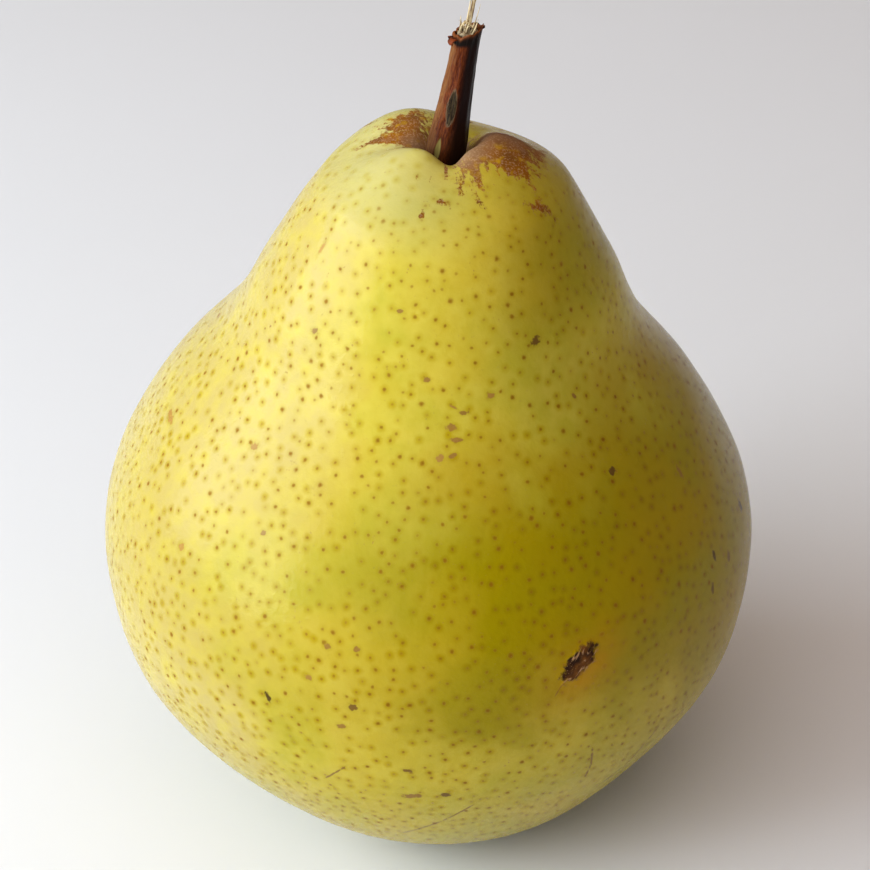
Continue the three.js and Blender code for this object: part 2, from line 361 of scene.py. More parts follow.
scar = []
for vert in flesh.verts:
    offset = vert.co - scar_place
    if offset.length > 3 * SCAR_SURROUND:
        scar.extend((0, 0, 0))
        continue
    cover, ridge, halo = cork(offset.dot(scar_along), offset.dot(scar_across))
    vert.co += scar_outward * CORK_RISE * cover * (CORK_BASE + (1 - CORK_BASE) * ridge)
    scar.extend((cover, ridge, halo))


# ---- Fruit: pores ----
# Each pore is a corky brown dot in a soft olive ring, where air passes through the skin. They lie a
# millimetre or two apart all over, and a little closer towards the flower end.

PORE_SEED = 7
LEAST_GAP, MOST_GAP = 0.85, 1.5
THROWS_PER_MM2 = 0.75
CROWDING_AT_FOOT = 0.2
CROWDED_BELOW, EVEN_ABOVE = 5, 40


def scatter_pores():
    """Random places on the skin, each with a ring of clear skin of its own width round it."""
    draw = random.Random(PORE_SEED)
    bands = list(itertools.pairwise(outline))
    areas = list(itertools.accumulate(math.pi * (low[0] + high[0]) * math.dist(low, high)
                                      for low, high in bands))
    cells = {}
    kept = []
    for low, high in draw.choices(bands, cum_weights=areas, k=int(areas[-1] * THROWS_PER_MM2)):
        up, angle = draw.random(), draw.uniform(0, 2 * math.pi)
        radius = low[0] + (high[0] - low[0]) * up
        height = low[1] + (high[1] - low[1]) * up
        place = shape_flesh((radius * math.cos(angle), radius * math.sin(angle), height))
        crowding = CROWDING_AT_FOOT * (1 - rise_between(CROWDED_BELOW, EVEN_ABOVE, place.z))
        gap = draw.uniform(LEAST_GAP, MOST_GAP) * (1 - crowding)
        cell = tuple(int(value // MOST_GAP) for value in place)
        near = (kept[i] for step in itertools.product((-1, 0, 1), repeat=3)
                for i in cells.get(tuple(map(sum, zip(cell, step))), ()))
        if all((place - other).length > gap for other in near):
            cells.setdefault(cell, []).append(len(kept))
            kept.append(place)
    return kept, [draw.random() for _ in kept]


pores, tones = scatter_pores()
pore_tree = KDTree(len(pores))
for i, place in enumerate(pores):
    pore_tree.insert(place, i)
pore_tree.balance()

nearest_pore, second_pore, pore_tones = [], [], []
for face in flesh.faces:
    (one, i, _), (two, k, _) = pore_tree.find_n(face.calc_center_median(), 2)
    pore_tones.extend((tones[i], tones[k], 0))
    for loop in face.loops:
        nearest_pore.extend(loop.vert.co - one)
        second_pore.extend(loop.vert.co - two)


# ---- Fruit: freckles and scratches ----
# Larger purple-brown freckles of dry skin, and thin scratches that healed brown. A scratch is a row
# of long narrow freckles that run into each other.

FRECKLES = [  # direction, height, turn, length, width, darkness
    (-117.3, 35.6, -65, 1.5, 0.6, 1), (-102.3, 37, 0, 1.05, 0.95, 0.75), (-59.2, 72.1, 25, 1.4, 1, 0.8),
    (-132, 71.8, 15, 1, 0.65, 0.55), (-104.2, 75.9, 0, 0.9, 0.5, 0.5), (-144.8, 79.1, 80, 1.7, 0.5, 0.15),
    (-93.1, 69.6, 10, 0.8, 0.6, 0.45), (-75.1, 67.8, 30, 0.9, 0.7, 0.3), (-85.4, 66.9, -30, 0.9, 0.3, 0.3),
    (-82.6, 66.3, 0, 1, 0.5, 0.5), (-85.9, 64.9, -10, 1.4, 0.8, 0.4), (-84.8, 63.7, 0, 1.5, 0.5, 0.4),
    (-88.6, 62.1, 30, 1, 0.8, 0.3), (-85.6, 62.3, 20, 1.1, 0.5, 0.45), (-49.9, 65.2, -70, 0.9, 0.45, 0.5),
    (-124.5, 52.8, 20, 0.75, 0.7, 0.5), (-167.1, 55.2, -12, 2.6, 0.9, 0.2), (-136.1, 59.1, 40, 1.1, 0.9, 0.3),
    (-141.7, 47.4, 80, 1.1, 0.9, 0.25), (-29.1, 53.4, 90, 1.8, 0.6, 0.5), (-13, 43.7, 80, 1.8, 1.2, 0.9),
    (-29.5, 43.6, 88, 1.5, 0.7, 0.95), (-24.7, 41.7, 85, 1.5, 0.9, 0.7), (-32.1, 40.3, 80, 1.4, 0.7, 0.8),
    (-47.4, 57.5, 30, 1, 0.9, 0.85), (-93.2, 23.4, 5, 2.3, 0.9, 0.5), (-87.4, 23.6, -10, 1.1, 0.85, 0.8),
    (-93.5, 28, -8, 1.2, 0.6, 0.75), (-107.2, 43.8, 0, 0.8, 0.7, 0.45), (-102.1, 44.1, 0, 0.8, 0.7, 0.45),
    (-104.3, 34, 0, 0.9, 0.7, 0.45), (-110, 39.8, 0, 0.8, 0.7, 0.35), (62, 58, 50, 1.6, 0.9, 0.6),
    (94, 41, 15, 1.8, 1, 0.8), (118, 66, 70, 1.1, 0.7, 0.5), (150, 33, -20, 1.3, 0.9, 0.7),
    (25, 24, 40, 1.5, 0.8, 0.6), (74, 27, -35, 1, 0.8, 0.5), (170, 62, 10, 1.2, 0.6, 0.4),
]
SCRATCHES = [  # width, then each bend as a direction and a height
    (0.3, (-60.6, 26.8), (-60, 23.8), (-60.4, 21.6)),
    (0.26, (-96.9, 13.6), (-88.9, 17.2), (-82.9, 20.8)),
    (0.3, (-53.5, 16.8), (-49.4, 19), (-46.9, 22.3), (-44.5, 24.5)),
    (0.24, (-108, 25), (-104.5, 27.4)),
    (0.2, (-67.4, 38.8), (-68.9, 37.2)),
    (0.3, (108, 48), (114, 51), (118, 56)),
    (0.26, (36, 38), (43, 35)),
]
SCRATCH_STEP, SCRATCH_OVERLAP = 0.9, 1.7
SCRATCH_DARKNESS = 0.6
MARK_FRINGE = 1.2
FAR_AWAY = 9


def scratch_marks(width, *bends):
    """The row of narrow freckles along one scratch, as places, directions and sizes."""
    for (direction, height), (next_direction, next_height) in itertools.pairwise(bends):
        start = skin_place(direction, height)
        end = skin_place(next_direction, next_height)
        steps = max(round((end - start).length / SCRATCH_STEP), 1)
        for step in range(steps):
            share = (step + 0.5) / steps
            place = skin_frame(direction + (next_direction - direction) * share,
                               height + (next_height - height) * share, 0)
            along = (end - start - place[3] * (end - start).dot(place[3])).normalized()
            length = SCRATCH_OVERLAP * SCRATCH_STEP
            yield place[0], along, place[3].cross(along), length, width, SCRATCH_DARKNESS


marks = []
for direction, height, turn, length, width, darkness in FRECKLES:
    marks.append((*skin_frame(direction, height, turn)[:3], length, width, darkness))
for scratch in SCRATCHES:
    marks.extend(scratch_marks(*scratch))

face_tree = KDTree(len(flesh.faces))
for i, face in enumerate(flesh.faces):
    face_tree.insert(face.calc_center_median(), i)
face_tree.balance()
nearest_mark = {}
for mark in marks:
    place, along, across, length, width, darkness = mark
    for middle, i, distance in face_tree.find_range(place, length + MARK_FRINGE):
        offset = middle - place
        apart = math.hypot(offset.dot(along) / length, offset.dot(across) / width)
        if apart < nearest_mark.get(i, (FAR_AWAY, None))[0]:
            nearest_mark[i] = (apart, mark)

mark_plan = []
for i, face in enumerate(flesh.faces):
    if i not in nearest_mark:
        mark_plan.extend((FAR_AWAY, FAR_AWAY, 0) * len(face.loops))
        continue
    place, along, across, length, width, darkness = nearest_mark[i][1]
    for loop in face.loops:
        offset = loop.vert.co - place
        mark_plan.extend((2 * offset.dot(along) / length, 2 * offset.dot(across) / width, darkness))


# ---- Fruit: russet ----
# Round the stem the skin is covered by russet, a thin rough cork. It is tan where it lies thick on
# the mounds, golden where it thins out in streaks, and greyish in the hollow at the stem.

STEM_X = 2.05
RUSSET = [  # x and y in plan, turn, reach along, reach across, cover
    (8, -1.2, -8, 3.1, 2.5, 1.8), (9, -4.9, -12, 2.2, 0.7, 0.65), (4, -3.2, -30, 1.6, 1.3, 1.2),
    (2, -6.2, -85, 0.9, 0.22, 0.85), (3.6, -7.4, -82, 1.3, 0.55, 0.85), (5.3, -6.5, -70, 1.2, 0.4, 0.95),
    (12.4, -8.3, 15, 1, 0.6, 1), (11.7, -6.3, 0, 0.4, 0.3, 0.7), (1.3, -9.7, -15, 0.8, 0.25, 0.95),
    (-0.7, -11.3, 80, 0.5, 0.28, 0.9), (5.5, -9.1, -75, 0.6, 0.25, 0.9), (6.1, -10.1, 0, 0.35, 0.3, 0.8),
    (2.3, -10.8, 0, 0.5, 0.4, 0.6), (-2.6, 4.2, 20, 2.2, 1.7, 1.2), (-5.2, 2.1, 168, 1.9, 0.4, 1.1),
    (-1.6, 1.1, 0, 1.5, 1, 1.1), (2.4, 2.6, 0, 1.6, 1, 1.1), (4.6, 8.4, 60, 0.9, 0.5, 0.9),
    (13, 1.5, 75, 2, 0.3, 0.75), (12.2, 4.6, 80, 1.5, 0.3, 0.7), (8.4, 8.2, 40, 1.6, 0.4, 0.6),
    (-7.5, 8.4, 130, 1.6, 0.6, 0.7), (-1.4, 9.6, 100, 1.8, 0.5, 0.7), (-1.4, -7, 178, 1, 0.14, 0.8),
]
GREY_RUSSET = [(3.4, -3.4, 1.9), (-1.2, 0.8, 0.9), (3.5, 3, 2.2)]
GOLDEN_RUSSET = [(-3.4, 4.8, 3), (8.6, -4.6, 1.9), (5, -8, 1.8), (11.5, -6, 2)]
RUSSET_BEGINS = 78
STREAKS_ROUND = 13
STREAK_LENGTH = 1.7


def russet_cover(place):
    cover = 0
    for x, y, turn, along, across, most in RUSSET:
        offset = Matrix.Rotation(-math.radians(turn), 2) @ Vector((place.x - x, place.y - y))
        cover += most * bell(math.hypot(offset.x / along, offset.y / across), 1)
    return cover


def plan_share(places, place):
    return sum(bell(math.hypot(place.x - x, place.y - y), reach) for x, y, reach in places)


russet, russet_flow = [], []
for vert in flesh.verts:
    spoke = Vector((vert.co.x - STEM_X, vert.co.y))
    russet_flow.extend((*(spoke.normalized() * STREAKS_ROUND), spoke.length / STREAK_LENGTH))
    if vert.co.z < RUSSET_BEGINS:
        russet.extend((0, 0, 0))
    else:
        russet.extend((russet_cover(vert.co), plan_share(GREY_RUSSET, vert.co),
                       plan_share(GOLDEN_RUSSET, vert.co)))


# ---- Fruit: skin ----
# Ripe waxy skin, pale yellow with a green cast in patches. Painted light makes it paler on the side towards
# the window, with a pale painted sheen by the stem, and painted shade makes it golden and darker on the
# side turned away and in a band across the front of the belly.
# Light enters it a little, and its wax gives soft highlights. Russet, freckles and cork are matt.

# Real peel is pitted and its cork is crumbly on a finer scale than this, and both are drawn coarser to show.
PATCH_MM, MOTTLE_MM, PEEL_MM, GRAIN_MM, DUST_MM = 13, 2.4, 1.1, 0.4, 0.22
# The third colour here is painted light on the side towards the window, the last a painted sheen by the stem.
RIPE, GREENER, PAINTED_LIGHT_PALE, GLOW, PAINTED_SHEEN = "#B8A22E", "#ACA02C", "#B29E58", "#C0AE40", "#B8B070"
# These two golden colours are painted shade, on the side turned from the window and across the belly.
PAINTED_SHADE_GOLD, PAINTED_SHADE_GREENER = "#977F00", "#8F7F00"
SIDE_WANDER, HEIGHT_WANDER, BELT_SLANT = 0.9, 26 * MM, -12 * MM
COLOUR_ZONES = [  # name, what it follows, where it begins and ends, its share at each, kind of change
    ("greener", "patches", 0.4, 0.65, 0, 1, "LINEAR"),
    ("glow", "mottle", 0.4, 0.75, 0, 0.6, "LINEAR"),
    # Painted light: the skin is paler on the side towards the window.
    ("painted_light", "side", -0.25, -0.8, 0, 1, "SMOOTHSTEP"),
    # Painted shade: the skin is golden and darker on the side turned away from the window.
    ("painted_shade", "side", 0.3, 0.8, 0, 1, "SMOOTHSTEP"),
    ("above_foot", "height", 13 * MM, 37 * MM, 0, 1, "SMOOTHSTEP"),
    ("below_neck", "height", 57 * MM, 70 * MM, 1, 0.05, "SMOOTHSTEP"),
    ("on_top", "true_height", 69 * MM, 76 * MM, 0, 0.7, "SMOOTHSTEP"),
    # Painted shade: a golden, darker band across the front of the belly, under the lit shoulder.
    ("shade_belt", "height", 26 * MM, 39 * MM, 0, 1, "SMOOTHSTEP"),
    ("belt_top", "slanted_height", 67 * MM, 55 * MM, 0, 1, "SMOOTHSTEP"),
    ("front", "depth", 0.3, -0.5, 0, 1, "SMOOTHSTEP"),
    ("fainter", "side", 0.3, -0.4, 1, 0.3, "LINEAR"),
    # Painted sheen: the skin by the stem is paler on the side towards the window.
    ("painted_sheen", "true_height", 79.5 * MM, 86 * MM, 0, 0.75, "SMOOTHSTEP"),
    ("left_of_stem", "across", 6 * MM, -4 * MM, 0.1, 1, "LINEAR"),
]
ZONE_STEPS = [  # a zone, and the one that then limits it or is added to it
    ("painted_shade", "above_foot", "MULTIPLY"),
    ("below_neck", "on_top", "MAXIMUM"),
    ("painted_shade", "below_neck", "MULTIPLY"),
    ("shade_belt", "belt_top", "MULTIPLY"),
    ("shade_belt", "front", "MULTIPLY"),
    ("shade_belt", "fainter", "MULTIPLY"),
    ("painted_shade", "shade_belt", "MAXIMUM"),
    ("painted_sheen", "left_of_stem", "MULTIPLY"),
]
PORE_RING, PORE_DOT = "#E9DE38", "#7E5000"
RING_RADIUS, RING_CORE, DOT_CORE = 0.82, 0.1, 0.04  # in millimetres, as the pores' attributes are
FRECKLE_PALE, FRECKLE_DARK, FRECKLE_RING = "#B0823C", "#361808", "#9A8410"
RUSSET_GOLDEN, RUSSET_TAN, RUSSET_GREY = "#804A02", "#80583A", "#8A6A4C"
RUSSET_BLOTCH, RUSSET_SPECK, RUSSET_FLECK = "#4A2C18", "#A88868", "#A67C10"
SCAB_DARK, SCAB_BROWN, CORK_RIDGE, STAINED_SKIN = "#2A120A", "#7A4A1C", "#A27C58", "#AA7C00"


def grown_colour_with_painted_light(tree, place, where, noises):
    """Yellow in greener patches, with painted light on the lit side and by the stem, and golden painted
    shade.
    """
    plan = add_node(tree, "ShaderNodeVectorMath", {0: place, 1: (1, 1, 0)}, operation="MULTIPLY")
    plan = add_node(tree, "ShaderNodeVectorMath", {0: plan.outputs[0]}, operation="NORMALIZE")
    plan = add_node(tree, "ShaderNodeSeparateXYZ", {0: plan.outputs[0]}).outputs
    # The patches make the edge of each zone wander.
    wander = add_node(tree, "ShaderNodeMath", {0: noises["patches"], 1: SIDE_WANDER, 2: -SIDE_WANDER / 2},
                      operation="MULTIPLY_ADD").outputs[0]
    side = add_node(tree, "ShaderNodeMath", {0: plan["X"], 1: wander}, operation="ADD").outputs[0]
    height = add_node(tree, "ShaderNodeMath", {0: wander, 1: HEIGHT_WANDER, 2: where["Z"]},
                      operation="MULTIPLY_ADD").outputs[0]
    left = add_node(tree, "ShaderNodeMath", {0: side, 1: 0}, operation="MINIMUM").outputs[0]
    slanted_height = add_node(tree, "ShaderNodeMath", {0: left, 1: BELT_SLANT, 2: height},
                              operation="MULTIPLY_ADD").outputs[0]
    followed = {**noises, "side": side, "depth": plan["Y"], "height": height, "across": where["X"],
                "true_height": where["Z"], "slanted_height": slanted_height}
    zones = {}
    for name, follows, begin, end, least, most, change in COLOUR_ZONES:
        reach = {"Value": followed[follows], "From Min": begin, "From Max": end,
                 "To Min": least, "To Max": most}
        zones[name] = add_node(tree, "ShaderNodeMapRange", reach, interpolation_type=change).outputs[0]
    for name, other, operation in ZONE_STEPS:
        zones[name] = add_node(tree, "ShaderNodeMath", {0: zones[name], 1: zones[other]},
                               operation=operation).outputs[0]
    # The golden colour of the painted shade, greener in patches.
    golden = add_node(tree, "ShaderNodeMix", {0: zones["greener"], 6: colour(PAINTED_SHADE_GOLD),
                                              7: colour(PAINTED_SHADE_GREENER)}, data_type="RGBA").outputs[2]
    skin = colour(RIPE)
    for zone, over in (("greener", colour(GREENER)), ("painted_light", colour(PAINTED_LIGHT_PALE)), ("glow", colour(GLOW)),
                       ("painted_shade", golden), ("painted_sheen", colour(PAINTED_SHEEN))):
        skin = add_node(tree, "ShaderNodeMix", {0: zones[zone], 6: skin, 7: over},
                        data_type="RGBA").outputs[2]
    return skin


def with_pores(tree, skin, where, tones, grain):
    """A soft ring and a brown dot for each of the two nearest pores, each as strong as its own tone."""
    # Both grow fainter between two heights near the stem.
    ring_fade, dot_fade = (
        add_node(tree, "ShaderNodeMapRange", {"Value": where["Z"], "From Min": begin * MM,
                                              "From Max": end * MM, "To Min": 1, "To Max": left}).outputs[0]
        for begin, end, left in ((64, 84, 0.45), (81, 87, 0.4)))
    uneven = add_node(tree, "ShaderNodeMath", {0: grain, 1: 0.3, 2: -0.15},
                      operation="MULTIPLY_ADD").outputs[0]
    dots = []
    for attribute, tone in (("nearest_pore", tones["X"]), ("second_pore", tones["Y"])):
        offset = add_node(tree, "ShaderNodeAttribute", attribute_name=attribute).outputs["Vector"]
        distance = add_node(tree, "ShaderNodeVectorMath", {0: offset}, operation="LENGTH").outputs["Value"]
        distance = add_node(tree, "ShaderNodeMath", {0: distance, 1: uneven}, operation="ADD").outputs[0]
        # Few tones come near 1 after the power, so only a few pores are large.
        largeness = add_node(tree, "ShaderNodeMath", {0: tone, 1: 6}, operation="POWER").outputs[0]
        other_tone = add_node(tree, "ShaderNodeMath", {0: tone, 1: 7.3}, operation="MULTIPLY").outputs[0]
        other_tone = add_node(tree, "ShaderNodeMath", {0: other_tone}, operation="FRACT").outputs[0]
        dot_radius, dot_strength, ring_strength = (
            add_node(tree, "ShaderNodeMath", {0: share, 1: spread, 2: least},
                     operation="MULTIPLY_ADD").outputs[0]
            for share, spread, least in ((largeness, 0.2, 0.27), (tone, 0.55, 0.36),
                                         (other_tone, 0.75, 0.25)))
        for radius, core, strength, fade, over, blend in (
                (RING_RADIUS, RING_CORE, ring_strength, ring_fade, PORE_RING, "MULTIPLY"),
                (dot_radius, DOT_CORE, dot_strength, dot_fade, PORE_DOT, "MIX")):
            mask = add_node(tree, "ShaderNodeMapRange", {"Value": distance, "From Min": radius,
                                                        "From Max": core},
                            interpolation_type="SMOOTHSTEP").outputs[0]
            for share in (strength, fade):
                mask = add_node(tree, "ShaderNodeMath", {0: mask, 1: share}, operation="MULTIPLY").outputs[0]
            skin = add_node(tree, "ShaderNodeMix", {0: mask, 6: skin, 7: colour(over)},
                            data_type="RGBA", blend_type=blend).outputs[2]
        dots.append(mask)
    return skin, dots


def with_freckles(tree, skin, mark, grain):
    """Ragged brown blots in a faint ring, the dark ones purplish."""
    plan = add_node(tree, "ShaderNodeCombineXYZ", {"X": mark["X"], "Y": mark["Y"]}).outputs[0]
    reach = add_node(tree, "ShaderNodeVectorMath", {0: plan}, operation="LENGTH").outputs["Value"]
    uneven = add_node(tree, "ShaderNodeMath", {0: grain, 1: 1.6, 2: -0.8},
                      operation="MULTIPLY_ADD").outputs[0]
    reach = add_node(tree, "ShaderNodeMath", {0: reach, 1: uneven}, operation="ADD").outputs[0]
    freckle = add_node(tree, "ShaderNodeMix", {0: mark["Z"], 6: colour(FRECKLE_PALE),
                                               7: colour(FRECKLE_DARK)}, data_type="RGBA").outputs[2]
    for begin, full, most, over in ((2.2, 0.8, 0.35, colour(FRECKLE_RING)), (1.15, 0.7, 0.9, freckle)):
        mask = add_node(tree, "ShaderNodeMapRange", {"Value": reach, "From Min": begin, "From Max": full,
                                                    "To Max": most},
                        interpolation_type="SMOOTHSTEP").outputs[0]
        skin = add_node(tree, "ShaderNodeMix", {0: mask, 6: skin, 7: over}, data_type="RGBA").outputs[2]
    return skin


def with_russet(tree, skin, cover, noises, crumbs):
    """Thin rough cork whose edge breaks up into streaks that run away from the stem."""
    flow = add_node(tree, "ShaderNodeAttribute", attribute_name="russet_flow").outputs["Vector"]
    streaks = add_node(tree, "ShaderNodeTexNoise", {"Vector": flow, "Scale": 1, "Detail": 4,
                                                    "Roughness": 0.65})
    torn = add_node(tree, "ShaderNodeMath", {0: streaks.outputs[0], 1: 2.1, 2: -1.05},
                    operation="MULTIPLY_ADD")
    torn = add_node(tree, "ShaderNodeMath", {0: torn.outputs[0], 1: crumbs}, operation="ADD")
    thick = add_node(tree, "ShaderNodeMath", {0: cover["X"], 1: torn.outputs[0]}, operation="ADD").outputs[0]
    covered, solid = (
        add_node(tree, "ShaderNodeMapRange", {"Value": thick, "From Min": begin, "From Max": full},
                 interpolation_type="SMOOTHSTEP").outputs[0]
        for begin, full in ((0.42, 0.84), (0.8, 1.5)))
    tan = add_node(tree, "ShaderNodeMath", {0: solid, 1: cover["Z"]}, operation="SUBTRACT", use_clamp=True)
    blotch, speck, fleck = (
        add_node(tree, "ShaderNodeMapRange", {"Value": noises[name], "From Min": begin, "From Max": full,
                                              "To Max": most}).outputs[0]
        for name, begin, full, most in (("mottle", 0.55, 0.35, 0.45), ("dust", 0.5, 0.75, 0.7),
                                        ("peel", 0.55, 0.75, 1)))
    golden_fleck = add_node(tree, "ShaderNodeMath", {0: fleck, 1: cover["Z"]}, operation="MULTIPLY")
    cork_colour = colour(RUSSET_GOLDEN)
    for mask, over in ((tan.outputs[0], RUSSET_TAN), (cover["Y"], RUSSET_GREY), (blotch, RUSSET_BLOTCH),
                       (speck, RUSSET_SPECK), (golden_fleck.outputs[0], RUSSET_FLECK)):
        cork_colour = add_node(tree, "ShaderNodeMix", {0: mask, 6: cork_colour, 7: colour(over)},
                               data_type="RGBA").outputs[2]
    skin = add_node(tree, "ShaderNodeMix", {0: covered, 6: skin, 7: cork_colour}, data_type="RGBA").outputs[2]
    return skin, covered


def with_scar(tree, skin, wound, mottle, crumbs):
    """Dark cork with pale ridges, in a halo of stained skin."""
    stain = add_node(tree, "ShaderNodeMath", {0: wound["Z"], 1: mottle}, operation="MULTIPLY").outputs[0]
    stain = add_node(tree, "ShaderNodeMath", {0: stain, 1: 1.6}, operation="MULTIPLY",
                     use_clamp=True).outputs[0]
    ragged = add_node(tree, "ShaderNodeMath", {0: crumbs, 1: 1.1, 2: wound["X"]}, operation="MULTIPLY_ADD")
    corked = add_node(tree, "ShaderNodeMapRange", {"Value": ragged.outputs[0], "From Min": 0.15,
                                                  "From Max": 0.85},
                      interpolation_type="SMOOTHSTEP").outputs[0]
    scab = add_node(tree, "ShaderNodeMapRange", {"Value": mottle, "From Min": 0.42, "From Max": 0.6})
    crest = add_node(tree, "ShaderNodeMapRange", {"Value": wound["Y"], "From Min": 0.4, "From Max": 0.85})
    scar_cork = colour(SCAB_DARK)
    for mask, over in ((scab, SCAB_BROWN), (crest, CORK_RIDGE)):
        scar_cork = add_node(tree, "ShaderNodeMix", {0: mask.outputs[0], 6: scar_cork, 7: colour(over)},
                             data_type="RGBA").outputs[2]
    for mask, over in ((stain, colour(STAINED_SKIN)), (corked, scar_cork)):
        skin = add_node(tree, "ShaderNodeMix", {0: mask, 6: skin, 7: over}, data_type="RGBA").outputs[2]
    return skin, corked


def pear_skin():
    """Waxed pear skin: a soft gloss over translucent yellow, with dots, freckles and matt cork."""
    finish, tree, shader = new_finish("waxy_pear_skin", specular_ior_level=0.17,
                                      specular_tint=colour("#FFF2C8"), subsurface_weight=0.12,
                                      subsurface_radius=(1, 0.7, 0.2), subsurface_scale=2 * MM)
    place = add_node(tree, "ShaderNodeTexCoord").outputs["Object"]
    where = add_node(tree, "ShaderNodeSeparateXYZ", {0: place}).outputs
    noises = {}
    for name, size, detail in (("patches", PATCH_MM, 3), ("mottle", MOTTLE_MM, 3), ("peel", PEEL_MM, 1),
                               ("grain", GRAIN_MM, 2), ("dust", DUST_MM, 2)):
        noises[name] = add_node(tree, "ShaderNodeTexNoise", {"Vector": place, "Scale": 1 / (size * MM),
                                                            "Detail": detail}).outputs[0]
    crumbs = add_node(tree, "ShaderNodeMath", {0: noises["grain"], 1: 1.1, 2: -0.55},
                      operation="MULTIPLY_ADD").outputs[0]
    own = {}
    for name in ("pore_tones", "mark_plan", "russet", "scar"):
        attribute = add_node(tree, "ShaderNodeAttribute", attribute_name=name)
        own[name] = add_node(tree, "ShaderNodeSeparateXYZ", {0: attribute.outputs["Vector"]}).outputs

    skin = grown_colour_with_painted_light(tree, place, where, noises)
    skin, dots = with_pores(tree, skin, where, own["pore_tones"], noises["grain"])
    skin = with_freckles(tree, skin, own["mark_plan"], noises["grain"])
    skin, russeted = with_russet(tree, skin, own["russet"], noises, crumbs)
    skin, corked = with_scar(tree, skin, own["scar"], noises["mottle"], crumbs)
    tree.links.new(skin, shader.inputs["Base Color"])

    # Dry cork is matt, and the wax is duller in some patches than in others.
    dry = russeted
    for mask in (corked, *dots):
        dry = add_node(tree, "ShaderNodeMath", {0: dry, 1: mask}, operation="MAXIMUM").outputs[0]
    wax = add_node(tree, "ShaderNodeMapRange", {"Value": noises["patches"], "To Min": 0.2, "To Max": 0.29})
    rough = add_node(tree, "ShaderNodeMix", {0: dry, 2: wax.outputs[0], 3: 0.68})
    tree.links.new(rough.outputs[0], shader.inputs["Roughness"])
    fine = add_node(tree, "ShaderNodeBump", {"Height": noises["grain"], "Strength": 0.2,
                                             "Distance": 0.1 * MM})
    bump = add_node(tree, "ShaderNodeBump", {"Height": noises["peel"], "Strength": 0.35,
                                             "Distance": 0.12 * MM, "Normal": fine.outputs[0]})
    tree.links.new(bump.outputs[0], shader.inputs["Normal"])
    return finish


fruit = shown("pear_fruit", flesh, pear_skin())
for name, domain, values in (("nearest_pore", "CORNER", nearest_pore), ("second_pore", "CORNER", second_pore),
                             ("pore_tones", "FACE", pore_tones), ("mark_plan", "CORNER", mark_plan),
                             ("scar", "POINT", scar), ("russet", "POINT", russet),
                             ("russet_flow", "POINT", russet_flow)):
    fruit.data.attributes.new(name, "FLOAT_VECTOR", domain).data.foreach_set("vector", values)
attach(fruit, "root")
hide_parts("fruit")


# ---- Stem ----
# A woody stalk with thin bark, sunk in the flesh. Its bark is smooth and dark red-brown, weathered tan
# on one side, which is also made paler as painted light, and nearly black on the other, partly as painted
# shade. Its foot in the well is darkened as painted shade. It was torn from the tree, so its end is a
# ragged flared rim.

STEM_OUTLINE = [(0, 79.6), (1.1, 79.7), (1.7, 80.6), (2.1, 83.2), (2.27, 86.2), (2.08, 89.3), (1.85, 92.2),
                (1.68, 95), (1.52, 97.8), (1.5, 99.8), (1.7, 101.1), (1.45, 101.2), (1.25, 100.4), (0, 100.2)]
STEM_ROWS, STEM_SIDES = 182, 96
STEM_FOOT_Z = 86.8
STEM_LEAN = 0.163
STEM_RIDGES = [(3, 0.08, 3), (7, 0.05, -5)]  # count, height, twist in degrees a millimetre
RIM_BEGINS, RIM_FULL, RIM_INSIDE, RIM_OUTSIDE = 99.4, 101, 1, 1.8
RIM_HIGH_SIDE, RIM_TILT, RIM_TEETH, RIM_RAGGED, RIM_CRUMBS, RIM_CRUMBLED = -10, 0.55, 7, 0.14, 5, 0.2
HOLLOW_RADIUS, HOLLOW_FLARE, HOLLOW_FLOOR = 1.45, 0.375, 100.4
CRINKLE_HEIGHT, CRINKLE_SWAY = 0.16, 0.35
CRINKLES = [(4.5, 0.2), (10, 0.45)]  # coarse and fine: how close they lie round the stem, and along it
LEAST_CRINKLED = 0.35
SCAR_RIM_HEIGHT, SCAR_RIM_WIDTH = 0.07, 0.25
WEATHERED_SIDE = 190
LEAF_SCAR = (-102, 92.5, 2.5, 0.55)  # angle, height, half length, half width
GREEN_PATCH = (-121, 87.2, 1.7, 0.34)


def stem_drift(height):
    return STEM_X + STEM_LEAN * (height - STEM_FOOT_Z)


def lens_distance(angle, height, radius, lens):
    """0 along the middle of a pointed patch on the stem and 1 at its edge."""
    at, level, half_length, half_width = lens
    across = math.radians(abs(turn_between(angle, at))) * radius
    return across / half_width + ((height - level) / half_length) ** 2


